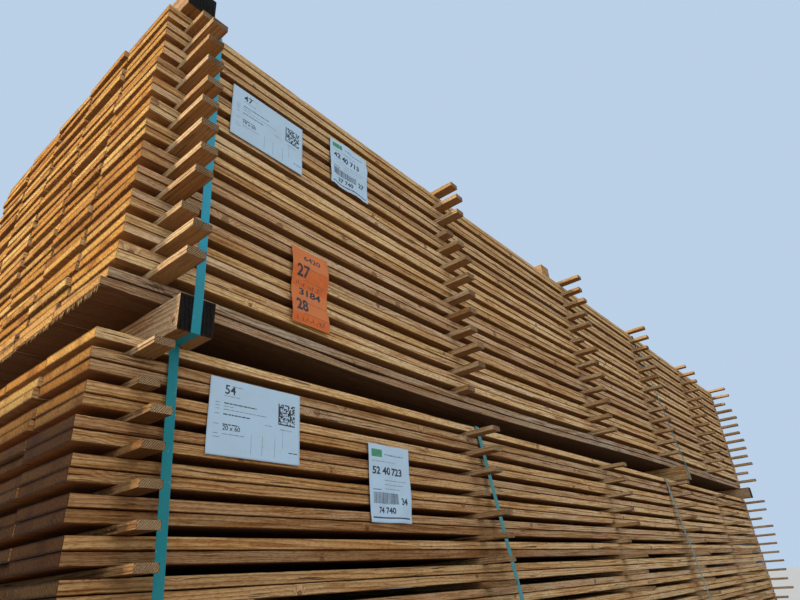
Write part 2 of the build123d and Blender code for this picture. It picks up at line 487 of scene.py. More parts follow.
def grow(name, tree, points, attribute_name, numbers, inputs):
    """Runs a Geometry Nodes tree on points that carry a number each, and gives the plain mesh."""
    start = bpy.data.meshes.new(name + "_points")
    start.from_pydata(points, [], [])
    start.attributes.new(attribute_name, "FLOAT", "POINT").data.foreach_set("value", numbers)
    holder = add_object(name + "_holder", start)
    modifier = holder.modifiers.new(tree.name, "NODES")
    modifier.node_group = tree
    for item in tree.interface.items_tree:
        if item.item_type == "SOCKET" and item.in_out == "INPUT" and item.name in inputs:
            modifier[item.identifier] = inputs[item.name]
    mesh = shown_mesh(holder)
    mesh.name = name
    return mesh


def plain_mesh(name, shape, material):
    """A bmesh as a plain mesh with one material."""
    mesh = bpy.data.meshes.new(name)
    shape.to_mesh(mesh)
    shape.free()
    mesh.materials.append(material)
    return mesh


def cut_along(shape, place, direction):
    """Cuts every face that a plane runs through, and leaves the form as it is."""
    bmesh.ops.bisect_plane(shape, geom=shape.verts[:] + shape.edges[:] + shape.faces[:],
                           plane_co=place, plane_no=direction)


def finish_piece(mesh, node_name=None):
    """Links a new piece, lets it sag with its bundle, and makes it stand for its CAD node, if it has one."""
    let_sag(mesh)
    piece = add_object(mesh.name, mesh)
    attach(piece, "root")
    if node_name:
        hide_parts(node_name)
    return len(mesh.polygons)


def make_timber(name, node_name, inputs):
    """New bars for a CAD node, as one plain mesh that replaces it; gives the number of its faces."""
    bars = bars_of(node_name)
    length, width, thickness = bars[0][2]
    mesh = grow(name, timber_tree, [middle for middle, direction, size in bars],
                "turn", [math.atan2(direction.y, direction.x) for middle, direction, size in bars],
                {"Length": length, "Width": width, "Thickness": thickness, **inputs})
    return finish_piece(mesh, node_name)


print("helpers: shown_mesh, grow, plain_mesh, cut_along, finish_piece, make_timber")

# %% [markdown]
# ## Softwood
#
# A tree grows a ring a year, pale in spring and dark in summer, round a heart that runs up the trunk. If
# the material holds those rings in space, round a line along the board, then every cut shows the right
# figure: arcs on the ends, straight lines on the edges and long arches on the faces. A few knots, where
# branches grew, push the rings aside. Short dark cracks follow the fibre.

# %% The softwood group
knot_cells = 8.0
knot_wobble = 0.009
heart_wander = 0.06
summer_wood = 2.4


def make_softwood_group():
    tree, given, result = new_group(
        "Softwood", "ShaderNodeTree",
        {"Place": VECTOR, "Broad": 0.0, "Number": 0.0, "Ring": 0.0035, "Knots": 0.5},
        dict.fromkeys(("Rings", "Knot", "Fibre", "Streak", "Fuzz", "Patch", "Crack"), 0.0))
    number = given["Number"]
    far = join(tree, *(number * step for step in (37.0, 91.0, 53.0)))
    place = put(tree, "ShaderNodeVectorMath", {0: given["Place"], 1: far}, operation="ADD")

    # Knots sit in some of the cells of a flat foam on each face; they are round about the cell's seed
    jitter = cloud(place, 70.0, output=1)
    uneven = put(tree, "ShaderNodeVectorMath", {0: jitter, 1: (knot_wobble,) * 3, 2: place},
                 operation="MULTIPLY_ADD")
    x, y, z = split(uneven)
    upright = put(tree, "ShaderNodeMix", {0: given["Broad"], 2: z, 3: y}, data_type="FLOAT")
    cells = put_all(tree, "ShaderNodeTexVoronoi",
                    {"Vector": join(tree, x, upright), "Scale": knot_cells, "Randomness": 1.0},
                    voronoi_dimensions="2D")
    distance = cells["Distance"]
    chance, size, _ = split_colour(cells["Color"])
    chosen = chance < given["Knots"] * 0.5
    radius = size * 0.06 + 0.03
    heart = ranged(distance, radius, radius * 0.8) * 0.7
    bark = ranged(abs(distance - radius), 0.016, 0.004)
    knot = heart.at_least(bark) * chosen
    swirl = ranged(distance, radius * 5.0, 0.0, "SMOOTHSTEP") * chosen

    # The heart wanders along the board; the rings are shells round it
    wander_y, wander_z, _ = split_colour(cloud(place, stretch=(1.1, 6.0, 6.0), output=1))
    x, y, z = split(given["Place"])
    heart_y = (number * 7.3).fract() * 0.26 - 0.13
    heart_z = (number * 13.7).fract() * 0.10 - 0.12
    off_y = wander_y * heart_wander + (y - heart_y)
    off_z = wander_z * heart_wander + (z - heart_z)
    from_heart = swirl * 0.014 + (off_y * off_y + off_z * off_z).sqrt()
    growth = (number * 29.3).fract() * 1.1 + 0.6
    phase = (from_heart / (given["Ring"] * growth)).fract()
    rings = phase ** summer_wood * ranged(phase, 1.0, 0.92)

    fibre = cloud(place, detail=3.0, stretch=(7.0, 300.0, 300.0))
    streak = cloud(place, detail=4.0, stretch=(6.0, 110.0, 110.0))
    fuzz = cloud(place, detail=4.0, stretch=(80.0, 360.0, 360.0), Roughness=0.7)
    patch = cloud(place, detail=5.0, stretch=(2.4, 14.0, 14.0))
    crack = ranged(cloud(place, stretch=(7.0, 190.0, 190.0)), 0.67, 0.71)
    for value, socket in zip((rings, knot, fibre, streak, fuzz, patch, crack), result):
        value.to(socket)
    return tree


softwood = make_softwood_group()
print("the softwood group has", len(softwood.nodes), "nodes")

# %% [markdown]
# A saw leaves its own marks over the wood's. A circular blade ploughs ridges across the ends, and a band
# saw leaves fine slanted lines on the faces. The same group serves boards, laths and bearers, with its own
# spacing for each.

# %% The saw mark group
def make_saw_group():
    tree, given, result = new_group(
        "Saw marks", "ShaderNodeTree",
        {"Place": VECTOR, "Ridge": 0.006, "Slant": 0.1, "Plough": 0.1, "Line": 0.009},
        {"Ridges": 0.0, "Lines": 0.0})
    x, y, z = split(given["Place"])
    bend = cloud(given["Place"], 45.0)
    across = (bend * 0.010 + (z * given["Slant"] + y)) / given["Ridge"]
    wave = (across * (2 * math.pi)).sine()
    rough = cloud(given["Place"], 330.0, 4.0, (1.0, 1.0, 0.45), Roughness=0.65)
    (wave * given["Plough"] + (rough * 1.6 - 0.3)).to(result["Ridges"])
    slant = (bend * 0.006 + (z * 0.35 + (y * 0.12 + x))) / given["Line"]
    (slant.fract() ** 3.0).to(result["Lines"])
    return tree


saw_marks = make_saw_group()
print("the saw mark group has", len(saw_marks.nodes), "nodes")

# %% [markdown]
# The finish mixes figure and saw marks into colour. Boards differ from each other more than within
# themselves, so the board's own number picks a tint between tan, pink and brown. The ends are cut across
# the fibre and get colours of their own. The undersides lie in the gaps, so they get painted shade and are
# darker and browner. Painted shade also darkens the seams between bars and the foot of the stack near its
# near end.

# %% Mixing helpers
def mix(share, a, b, blend="MIX"):
    """The colour a where the share is 0 and b where it is 1; colours are values or three numbers."""
    def full(colour):
        return colour if isinstance(colour, Value) else (*colour, 1.0)
    tree = next(value.tree for value in (share, a, b) if isinstance(value, Value))
    return put(tree, "ShaderNodeMix", {0: share, 6: full(a), 7: full(b)}, 2, data_type="RGBA",
               blend_type=blend)


def times(colour, factors):
    return mix(1.0, colour, factors, "MULTIPLY")


def shade(colour, share, factors):
    """A colour times three factors where the share is 1."""
    return mix(share, colour, times(colour, factors))


def colour_ramp(value, colours):
    """Colours at even steps from 0 to 1."""
    ramp = add_node(value.tree, "ShaderNodeValToRGB", {0: value}, {})
    elements = ramp.color_ramp.elements
    while len(elements) < len(colours):
        elements.new(0.5)
    for number, colour in enumerate(colours):
        elements[number].position = number / (len(colours) - 1)
        elements[number].color = (*colour, 1.0)
    return Value(value.tree, ramp.outputs[0])


def object_place(tree):
    return put(tree, "ShaderNodeTexCoord", output="Object")


def bump(shader, height, strength, distance):
    put(height.tree, "ShaderNodeBump",
        {"Height": height, "Strength": strength, "Distance": distance}).to(shader.inputs["Normal"])


print("helpers: mix, times, shade, colour_ramp, object_place, bump")

# %% The wood materials
# The dark rims are painted shade in the seams and joints between bars
rim_ragged, rim_reach = 0.0060, 0.0031
painted_seam_shade = (0.045, 0.022, 0.011)
painted_end_joint_shade = (0.045, 0.018, 0.007)
crack_colour = (0.045, 0.022, 0.012)
knot_colour = (0.12, 0.045, 0.018)
silver_grey = (0.44, 0.36, 0.27)
fresh_sawn = (0.66, 0.50, 0.32)
# The bounds of the painted shade at the foot of the stack, darker towards its near end
painted_shade_from, painted_shade_to = cad_low.x + 2.6, cad_low.x + 0.1
painted_shade_top, painted_shade_foot = corner.z - 0.08, corner.z - 0.24


def attribute(tree, name, output="Fac"):
    return put(tree, "ShaderNodeAttribute", output=output, attribute_name=name)


def seam_shade_mask(place, across, half, width):
    """Where a face ends across an axis: a rim of painted shade, as in a seam between bars, of a given width,
    with a ragged inner border.
    """
    reach = cloud(place, detail=3.0, stretch=(40.0, 90.0, 90.0)) * rim_ragged + abs(across)
    return ranged(reach, half + rim_reach - width, half + rim_reach)


def painted_shade_mask(tree):
    """The foot of the stack is darker towards its near end: painted shade, as a neighbouring stack would
    cast.
    """
    x, y, z = split(object_place(tree))
    return ranged(x, painted_shade_from, painted_shade_to) * ranged(z, painted_shade_top, painted_shade_foot)


def make_wood(name, tints, end_tints, half_size, ring=0.005, knots=0.75, grey=0.2, painted_underside_shade=0.42,
              ridge=0.006, slant=0.1, plough=0.1, sawn=0.0, side_factors_in_painted_shade=(0.66, 0.55, 0.44),
              end_factors_in_painted_shade=(0.100, 0.085, 0.085), end_rim=0.0052):
    """Sawn wood: tints are the colours of the narrow faces from bar to bar, end_tints those of the ends."""
    material, tree, shader = new_material(name, 0.85, 0.10)
    place, number = attribute(tree, "grain", "Vector"), attribute(tree, "tone")
    broad, on_end = attribute(tree, "broad_face"), attribute(tree, "end_face")
    rings, knot, fibre, streak, fuzz, patch, crack = put_all(
        tree, "ShaderNodeGroup", {"Place": place, "Number": number, "Broad": broad, "Ring": ring,
                                  "Knots": knots}, node_tree=softwood).values()
    ridges, lines = put_all(tree, "ShaderNodeGroup", {"Place": place, "Ridge": ridge, "Slant": slant,
                                                      "Plough": plough}, node_tree=saw_marks).values()
    x, y, z = split(place)
    half_width, half_thickness = half_size
    rim = seam_shade_mask(place, z, half_thickness, 0.0014)
    end_joint_shade = seam_shade_mask(place, z, half_thickness, end_rim).at_least(seam_shade_mask(place, y, half_width, end_rim))
    painted_shade_here = painted_shade_mask(tree)

    spread = (number * 97.0).fract()
    base = side = colour_ramp(spread, tints)
    side = shade(side, ranged(patch, 0.42, 0.68), (0.78, 0.66, 0.54))
    side = mix(ranged(patch, 0.50, 0.36) * grey, side, silver_grey)
    side = shade(side, ranged(streak, 0.53, 0.60), (0.74, 0.61, 0.48))
    side = shade(side, rings, (0.47, 0.32, 0.20))
    side = shade(side, ranged(fibre, 0.52, 0.78), (0.50, 0.38, 0.29))
    side = shade(side, ranged(fuzz, 0.46, 0.66), (0.64, 0.53, 0.43))
    side = mix(lines * sawn, side, fresh_sawn)
    side = mix(knot * 0.85, side, knot_colour)
    side = mix(crack * 0.8, side, crack_colour)
    # Painted shade on the faces that look down: a darker, browner copy of the side colour
    inner = mix(0.45, side, times(base, (0.72, 0.60, 0.46)))
    inner = times(inner, (painted_underside_shade, painted_underside_shade * 0.76, painted_underside_shade * 0.58))
    # Painted shade in the seams between stacked bars, along the edges of the narrow faces
    side = mix((rim * (0.85 - broad)).at_least(0.0), side, painted_seam_shade)
    side = mix(attribute(tree, "under_face"), side, inner)
    # Painted shade at the foot of the stack, towards its near end
    side = shade(side, painted_shade_here, side_factors_in_painted_shade)

    end = colour_ramp(spread, end_tints)
    end = shade(end, rings * 0.45, (0.62, 0.40, 0.24))
    end = shade(end, ranged(ridges, 0.55, 0.22), (0.42, 0.25, 0.13))
    end = shade(end, ranged(patch, 0.50, 0.68) * 0.8, (0.50, 0.36, 0.26))
    # Painted shade in the joints between the ends
    end = mix(end_joint_shade * 0.9, end, painted_end_joint_shade)
    # Painted shade on the ends at the foot of the stack, towards its near end
    end = shade(end, painted_shade_here, end_factors_in_painted_shade)
    mix(on_end, side, end).to(shader.inputs["Base Color"])

    along = crack * -1.5 + (lines * (sawn * 2.0) + (fibre * 0.6 + (rings * -0.35 + fuzz)))
    relief = put(tree, "ShaderNodeMix", {0: on_end, 2: along, 3: ridges * 2.4}, data_type="FLOAT")
    bump(shader, relief, 0.9, 0.0018)
    return material


board_half = (board_size[1] / 2, board_size[2] / 2)
lath_half = (0.020, 0.009)
bearer_half = (0.0375, 0.0375)
board_wood = make_wood(
    "Board wood", half_size=board_half,
    tints=((0.82, 0.52, 0.23), (0.94, 0.67, 0.35), (0.68, 0.43, 0.19), (0.92, 0.64, 0.31), (0.76, 0.51, 0.28),
           (0.54, 0.34, 0.17), (0.86, 0.59, 0.27)),
    end_tints=((0.92, 0.47, 0.095), (0.70, 0.31, 0.048), (1.0, 0.66, 0.21), (0.86, 0.42, 0.075),
               (0.64, 0.28, 0.046), (0.97, 0.56, 0.135)))
worn_wood = make_wood(
    "Worn board wood", half_size=board_half,
    tints=((0.44, 0.31, 0.19), (0.54, 0.38, 0.24), (0.46, 0.31, 0.18)),
    end_tints=((0.90, 0.52, 0.16), (0.80, 0.42, 0.12)), knots=0.8, grey=0.6, painted_underside_shade=0.24)
# Where the foot of the stack gets painted shade, the laths' faces are darkened and their ends made lighter
lath_wood = make_wood(
    "Lath wood", half_size=lath_half, tints=((0.86, 0.62, 0.33), (0.80, 0.54, 0.27), (0.90, 0.68, 0.40)),
    end_tints=((0.44, 0.29, 0.15), (0.52, 0.35, 0.19), (0.36, 0.23, 0.12)), ring=0.004, knots=0.1,
    grey=0.1, painted_underside_shade=0.44, ridge=0.0042, slant=0.7, plough=0.35, sawn=0.08, side_factors_in_painted_shade=(0.50, 0.42, 0.34),
    end_factors_in_painted_shade=(1.25, 1.30, 1.30), end_rim=0.0010)
bearer_wood = make_wood(
    "Bearer wood", half_size=bearer_half, tints=((0.74, 0.50, 0.25), (0.80, 0.52, 0.22)),
    end_tints=((0.54, 0.32, 0.13), (0.46, 0.27, 0.12)), knots=0.2, painted_underside_shade=0.8, plough=0.2, sawn=0.12)
dark_bearer_wood = make_wood(
    "Dark ended bearer wood", half_size=bearer_half, tints=((0.78, 0.55, 0.31), (0.62, 0.41, 0.21)),
    end_tints=((0.008, 0.006, 0.005), (0.024, 0.020, 0.018)), knots=0.2, painted_underside_shade=0.5, ridge=0.009,
    plough=0.2, sawn=0.14)
print("five woods")

# %% [markdown]
# ## Boards and laths
#
# Each course of boards and each column of laths is one piece. The lowest course of the upper bundle has
# rubbed along the ground and against forks, so it is greyer and knottier than the rest.

# %% The boards
face_count = 0
for number, node_name in enumerate(course_names):
    worn = node_name == "upper_course_01"
    face_count += make_timber("boards_" + node_name.replace("_course", ""), node_name,
                              {"Corner": 0.0013, "Stretches": 100, "Bow": 0.0016, "Hollow": 0.0017,
                               "Chips": 0.0048, "Wane": 0.030 if worn else 0.018, "Seed": number,
                               "Material": worn_wood if worn else board_wood})
print(len(course_names), "courses with", face_count, "faces")

# %% The laths
face_count = 0
for number, node_name in enumerate(sticker_names):
    face_count += make_timber("laths_" + node_name.replace("_stickers", ""), node_name,
                              {"Corner": 0.0008, "Stretches": 24, "Bow": 0.0008, "Hollow": 0.0008,
                               "Chips": 0.0022, "Wane": 0.006, "Seed": 100 + number, "Material": lath_wood})
print(len(sticker_names), "columns of laths with", face_count, "faces")

# %% [markdown]
# ## Splinters
#
# A saw tears fibres out where it leaves the wood, so the lower edge of a cut end is hairy. The hairs are
# thin cones that hang from points along those edges. A second tree gives each one its own length and lean.
# A board that stands out has less room before the edge of the model, so its hairs lean out less.

# %% Splinters on the upper bundle
splinter_stretch = 1.6
long_hairs = (0.012, 60)
short_hairs = (0.006, 32)
steepest_lean = 0.9
root_depth, root_rise = 0.003, 0.0025
edge_margin = 0.001


def make_splinter_tree():
    tree, given, result = new_group(
        "Splinters", "GeometryNodeTree",
        {"Geometry": GEOMETRY, "Length": 0.01, "Seed": 0, "Material": MATERIAL}, {"Geometry": GEOMETRY})
    cone = put(tree, "GeometryNodeMeshCone", {"Vertices": 4, "Radius Top": 0.00015, "Radius Bottom": 0.0006,
                                              "Depth": given["Length"]})
    cone = keep(cone, "grain", put(tree, "GeometryNodeInputPosition"), "FLOAT_VECTOR")
    draw, size = (put(tree, "FunctionNodeRandomValue", {0: low, 1: high, "Seed": given["Seed"]},
                      data_type="FLOAT_VECTOR")
                  for low, high in (((-0.5, 0.0, 0.0), (0.5, 1.0, 0.0)),
                                    ((0.6, 0.6, 0.4), (1.4, 1.4, splinter_stretch))))
    x, y, z = split(draw)
    hairs = put(tree, "GeometryNodeInstanceOnPoints",
                {"Points": given["Geometry"], "Instance": cone, "Scale": size,
                 "Rotation": join(tree, x, y * recall(tree, "lean") - math.pi)})
    hairs = put(tree, "GeometryNodeRealizeInstances", {"Geometry": hairs})
    put(tree, "GeometryNodeSetMaterial", {"Geometry": hairs, "Material": given["Material"]}).to(result[0])
    return tree


def make_splinters(name, node_name, seed, longest, per_board):
    rng = random.Random(seed)
    points, leans = [], []
    for middle, direction, (length, width, thickness) in bars_of(node_name):
        across = Vector((-direction.y, direction.x, 0))
        end = middle - direction * (length / 2 - root_depth)
        room = (end.x - cad_low.x - edge_margin) / (longest * splinter_stretch)
        for number in range(per_board):
            shift = across * rng.uniform(-0.49, 0.49) * width
            points.append(end + shift - Vector((0, 0, thickness / 2 - root_rise)))
            leans.append(math.asin(max(0.0, min(steepest_lean, room))))
    mesh = grow(name, splinter_tree, points, "lean", leans,
                {"Length": longest, "Seed": seed, "Material": board_wood})
    finish_piece(mesh)
    return len(points)


splinter_tree = make_splinter_tree()
splinter_count = 0
for number, node_name in enumerate(n for n in course_names if n.startswith("upper")):
    splinter_count += make_splinters("splinters_" + node_name.replace("_course", ""), node_name, 300 + number,
                                     *(long_hairs if number == 0 else short_hairs))
print(splinter_count, "splinters")

# %% [markdown]
# ## Bearers
#
# The bearers are single square timbers with a shallow groove for the strap, so they start from the CAD
# shape itself. The copy is cut into short lengths, its four long edges are bevelled, and every point is
# pressed in a little by noise. Nothing moves outwards, so the straps still lie over the ends.

# %% Bearers
bearer_stretch = 0.018
bearer_bevel = 0.003
bearer_dent = 0.0015
dents_per_metre = 22.0
on_face = 1e-4


def is_long_outer_edge(edge, low, high):
    """True for an edge along Y that lies on two outer faces of the timber."""
    a, b = (v.co for v in edge.verts)
    outer = (min(abs(a[axis] - low[axis]), abs(a[axis] - high[axis])) < on_face for axis in (0, 2))
    return abs(a.y - b.y) > 0.5 * (high.y - low.y) and all(outer)


def make_bearer(node_name, material, number):
    low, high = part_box(node_name)
    middle = (low + high) / 2
    shape = joined_shape(cad_nodes[node_name].data)
    bmesh.ops.dissolve_limit(shape, angle_limit=0.01, verts=shape.verts, edges=shape.edges)
    outer = [e for e in shape.edges if is_long_outer_edge(e, low, high)]
    bmesh.ops.bevel(shape, geom=outer, offset=bearer_bevel, segments=2, profile=0.5, affect="EDGES")
    for step in range(1, int((high.y - low.y) / bearer_stretch)):
        cut_along(shape, (0, low.y + step * bearer_stretch, 0), (0, 1, 0))
    for vert in shape.verts:
        wave = noise.noise(vert.co * dents_per_metre + Vector((number * 5.3, 0, 0)))
        dent = bearer_dent * (0.5 + 0.5 * wave)
        vert.co.x += dent if vert.co.x < middle.x else -dent
        vert.co.z += dent if vert.co.z < middle.z else -dent
    bmesh.ops.recalc_face_normals(shape, faces=shape.faces)
    mesh = plain_mesh("bearer_" + node_name.replace("_bearer", ""), shape, material)
    places = [vert.co - middle for vert in mesh.vertices]
    facing = [face.normal for face in mesh.polygons]
    for name, kind, domain, field, values in (
            ("grain", "FLOAT_VECTOR", "POINT", "vector", [c for p in places for c in (p.y, p.x, p.z)]),
            ("tone", "FLOAT", "POINT", "value", [(number * 0.377) % 1.0] * len(places)),
            ("end_face", "FLOAT", "FACE", "value", [float(abs(n.y) > facing_limit) for n in facing]),
            ("broad_face", "FLOAT", "FACE", "value", [float(abs(n.z) > facing_limit) for n in facing]),
            ("under_face", "FLOAT", "FACE", "value", [float(n.z < -facing_limit) for n in facing])):
        mesh.attributes.new(name, kind, domain).data.foreach_set(field, values)
    finish_piece(mesh, node_name)


bearer_names = sorted(n for n in cad_nodes if "bearer" in n)
dark_names = ("middle_bearer_near", "middle_bearer_far", "top_bearer_near", "base_bearer_near")
for number, node_name in enumerate(bearer_names):
    make_bearer(node_name, dark_bearer_wood if node_name in dark_names else bearer_wood, number + 1)
print(len(bearer_names), "bearers")

# %% [markdown]
# ## Grime
#
# Dust and rain leave soft, cloudy stains on everything that has stood outdoors. The group gives a mask of
# such clouds and one of fine specks, which the strapping and the paper use with their own sizes.

# %% The grime group
def make_grime_group():
    tree, given, result = new_group("Grime", "ShaderNodeTree", {"Place": VECTOR, "Size": 0.05},
                                    {"Clouds": 0.0, "Specks": 0.0})
    scale = 1.0 / given["Size"]
    ranged(cloud(given["Place"], scale, 5.0), 0.42, 0.70).to(result["Clouds"])
    ranged(cloud(given["Place"], scale * 9.0), 0.66, 0.74).to(result["Specks"])
    return tree


def grimy(tree, size):
    """The place on the part, and the two masks of the grime group there."""
    place = object_place(tree)
    masks = put_all(tree, "ShaderNodeGroup", {"Place": place, "Size": size}, node_tree=grime)
    return place, masks["Clouds"], masks["Specks"]


grime = make_grime_group()
print("the grime group has", len(grime.nodes), "nodes")

# %% [markdown]
# ## Strapping
#
# The straps are polyester band, teal and slightly glossy, with a fine diamond pattern that is pressed in so
# that the clips hold. Their CAD shape is right, so they keep it and only get a finish. A band is painted
# lighter and bluer high up, as painted skylight, and dust dulls it in clouds. Two bands further back are
# lighter and greyer copies, as painted highlight, and one band of the upper bundle is darker and greener.

# %% The strap material
pressed_pattern = 1400.0


def make_strap_material(name, low_teal, high_teal):
    material, tree, shader = new_material(name, 0.5, 0.2)
    place, clouds, specks = grimy(tree, 0.08)
    x, y, z = split(place)
    # Painted skylight: the teal is lighter and bluer higher up
    teal = mix(ranged(z, corner.z - 0.15, corner.z + 0.25), low_teal, high_teal)
    teal = mix(clouds * 0.16, teal, (0.10, 0.20, 0.19))
    teal = mix(specks * 0.35, teal, (0.24, 0.32, 0.30))
    teal.to(shader.inputs["Base Color"])
    (clouds * 0.25 + 0.42).to(shader.inputs["Roughness"])
    one, other = (abs(((z * sign + (x + y)) * pressed_pattern).sine()) for sign in (1.0, -1.0))
    bump(shader, one.at_most(other), 0.5, 0.0004)
    return material


teal_strapping = make_strap_material("Teal strapping", (0.004, 0.180, 0.190), (0.025, 0.310, 0.400))
# Two bands further back get lighter, greyer copies as painted highlight; the upper middle band a darker,
# greener copy
other_strapping = {
    "upper_strap_middle": make_strap_material("Dull strapping", (0.004, 0.120, 0.115), (0.010, 0.150, 0.140)),
    "lower_strap_second": make_strap_material("Faded strapping", (0.05, 0.23, 0.22), (0.10, 0.32, 0.32)),
    "lower_strap_third": make_strap_material("Pale strapping", (0.16, 0.24, 0.22), (0.30, 0.36, 0.34))}
strap_names = sorted(n for n in cad_nodes if "strap" in n)
for node_name in strap_names:
    cad_nodes[node_name].data.materials.clear()
    cad_nodes[node_name].data.materials.append(other_strapping.get(node_name, teal_strapping))
print(len(strap_names), "straps")

# %% [markdown]
# ## Paper
#
# A label is a thin sheet, stapled at its corners, that has curled and creased in the damp. Each sheet is a
# fine grid with a front and a back, pushed out by a formula. The print is made of real marks, thinner than
# a hair, that follow the same formula, so it stays on the paper wherever the paper goes. The words and
# signs of the real labels are left out. Grey lines stand for small print, and the numbers are plain ones.

# %% The paper material
def make_paper(name, colour, stain, stain_share):
    material, tree, shader = new_material(name, 0.55, 0.35)
    place, clouds, specks = grimy(tree, 0.06)
    tint = mix(specks * 0.25, mix(clouds * stain_share, colour, stain), (0.25, 0.20, 0.15))
    tint.to(shader.inputs["Base Color"])
    bump(shader, cloud(place, 700.0, 3.0), 0.25, 0.0003)
    return material


def make_ink(name, colour, faded):
    """Ink that has faded unevenly."""
    material, tree, shader = new_material(name, 0.6, 0.3)
    worn = ranged(cloud(object_place(tree), 90.0, 3.0), 0.45, 0.75)
    mix(worn, colour, faded).to(shader.inputs["Base Color"])
    return material


# The labels are white paper; this blue grey paints the cool shade they lie in
white_paper = make_paper("Label paper", (0.420, 0.530, 0.610), (0.38, 0.43, 0.42), 0.30)
orange_paper = make_paper("Orange ticket paper", (0.60, 0.150, 0.022), (0.46, 0.105, 0.018), 0.55)
black_ink = make_ink("Black ink", (0.020, 0.020, 0.024), (0.060, 0.060, 0.068))
grey_ink = make_ink("Grey ink", (0.16, 0.17, 0.19), (0.34, 0.35, 0.37))
green_ink = make_ink("Green ink", (0.05, 0.22, 0.10), (0.12, 0.30, 0.17))
dark_orange_ink = make_ink("Dark orange ink", (0.56, 0.105, 0.010), (0.62, 0.135, 0.016))
print("two papers and four inks")

# %% Sheets and marks
paper_thickness = 0.0003
print_step = 0.004
print_top, thin_print_top, print_back = 0.00016, 0.00007, 0.00002
figure_middle, figure_half = 0.00009, 0.00007
shortest_word, longest_word, word_gap = 0.004, 0.014, 0.0018
closest = 0.0002


class Sheet:
    """A sheet of paper in the place of a CAD label; across and up run from its lower near corner."""

    def __init__(self, node_name, bulge, seed):
        self.node_name, self.bulge, self.rng = node_name, bulge, random.Random(seed)
        low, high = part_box(node_name)
        self.origin = Vector((low.x, high.y - paper_thickness, low.z))
        self.width, self.height = high.x - low.x, high.z - low.z
        self.marks = {}

    def place(self, across, up, lift=0.0):
        out = self.bulge(across / self.width, up / self.height) + lift
        return self.origin + Vector((across, -out, up))

    def bar(self, ink, left, foot, width, height, top=print_top):
        """A printed rectangle, cut into short steps so that it follows the sheet; top is its thickness."""
        shape = self.marks.setdefault(ink, bmesh.new())
        columns, rows = (max(1, round(size / print_step)) for size in (width, height))
        for column in range(columns):
            for row in range(rows):
                a, u = left + width * column / columns, foot + height * row / rows
                b, v = a + width / columns, u + height / rows
                ring = ((a, u), (b, u), (b, v), (a, v))
                front, back = ([shape.verts.new(self.place(*spot, lift)) for spot in ring]
                               for lift in (top, print_back))
                shape.faces.new(front)
                shape.faces.new(back[::-1])
                for i, j in ((0, 1), (1, 2), (2, 3), (3, 0)):
                    shape.faces.new((front[j], front[i], back[i], back[j]))

    def figures(self, text, left, foot, size, stretch=1.0, weight=0.012):
        """Plain numbers, made a mesh, cut into short steps and wrapped onto the sheet."""
        curve = bpy.data.curves.new("figures", "FONT")
        curve.body, curve.size, curve.extrude, curve.offset = text, size, figure_half, size * weight
        mesh = shown_mesh(add_object("figures", curve))
        shape = joined_shape(mesh, 1e-7)
        for axis in ((1, 0, 0), (0, 1, 0)):
            for step in range(1, int(size * len(text) / print_step)):
                cut_along(shape, Vector(axis) * step * print_step, axis)
        for vert in shape.verts:
            vert.co = self.place(left + vert.co.x * stretch, foot + vert.co.y, figure_middle + vert.co.z)
        shape.to_mesh(mesh)
        shape.free()
        self.marks.setdefault(black_ink, bmesh.new()).from_mesh(mesh)
        bpy.data.meshes.remove(mesh)

    def words(self, ink, left, foot, width, height):
        """A line of marks as long as words, for print too small to read."""
        start, end = left, left + width
        while start < end:
            length = min(self.rng.uniform(shortest_word, longest_word), end - start)
            self.bar(ink, start, foot, length, height)
            start += length + word_gap

    def square_code(self, left, foot, size, cells):
        """A field of random cells with a solid edge on two sides."""
        cell = size / cells
        for row in range(cells):
            for column in range(cells):
                if row == 0 or column == 0 or self.rng.random() < 0.48:
                    self.bar(black_ink, left + column * cell, foot + row * cell, cell, cell)

    def bar_code(self, left, foot, width, height):
        start = left
        while start < left + width:
            bar = self.rng.choice((0.0006, 0.0010, 0.0016))
            self.bar(black_ink, start, foot, bar, height)
            start += bar + self.rng.choice((0.0008, 0.0012, 0.0018))

    def scribble(self, left, foot, width, height, strokes):
        """Short pen strokes in a row, some upright and some level."""
        for number in range(strokes):
            start = left + width * number / strokes
            if self.rng.random() < 0.6:
                self.bar(black_ink, start, foot + height * self.rng.uniform(0, 0.3), 0.0017,
                         height * self.rng.uniform(0.4, 0.8))
            if self.rng.random() < 0.7:
                self.bar(black_ink, start, foot + height * self.rng.uniform(0, 0.8),
                         0.7 * width / strokes, 0.0016)

    def finish(self, name, paper, rows=40, columns=40):
        """Makes the paper and, for each ink, its print."""
        shape = bmesh.new()
        front, back = ([[shape.verts.new(self.place(self.width * c / columns, self.height * r / rows, lift))
                         for c in range(columns + 1)] for r in range(rows + 1)]
                       for lift in (0.0, -paper_thickness))
        for r in range(rows):
            for c in range(columns):
                for side in (front, back):
                    shape.faces.new((side[r][c], side[r][c + 1], side[r + 1][c + 1], side[r + 1][c]))
        rim = [(0, c) for c in range(columns)] + [(r, columns) for r in range(rows)]
        rim += [(rows, c) for c in range(columns, 0, -1)] + [(r, 0) for r in range(rows, 0, -1)]
        for (r, c), (s, d) in zip(rim, rim[1:] + rim[:1]):
            shape.faces.new((front[r][c], front[s][d], back[s][d], back[r][c]))
        bmesh.ops.recalc_face_normals(shape, faces=shape.faces)
        for face in shape.faces:
            face.smooth = True
        face_count = finish_piece(plain_mesh(name, shape, paper), self.node_name)
        for ink, marks in self.marks.items():
            finish_piece(plain_mesh(f"{name}_{ink.name.split()[0].lower()}_print", marks, ink))
        print(name, "has", face_count, "faces and", len(self.marks), "inks")


print("helper: Sheet")

# %% The two wide labels
def wide_bulge(seed):
    """Nearly flat: stapled at the corners, with a shallow belly and a lifted lower edge."""
    def bulge(a, u):
        belly = 0.0022 * math.sin(math.pi * a) * math.sin(math.pi * u)
        wave = 0.0009 * noise.noise(Vector((a * 2.2, u * 2.0, seed)))
        return max(closest, belly + wave + 0.0016 * (1 - u) ** 4)
    return bulge


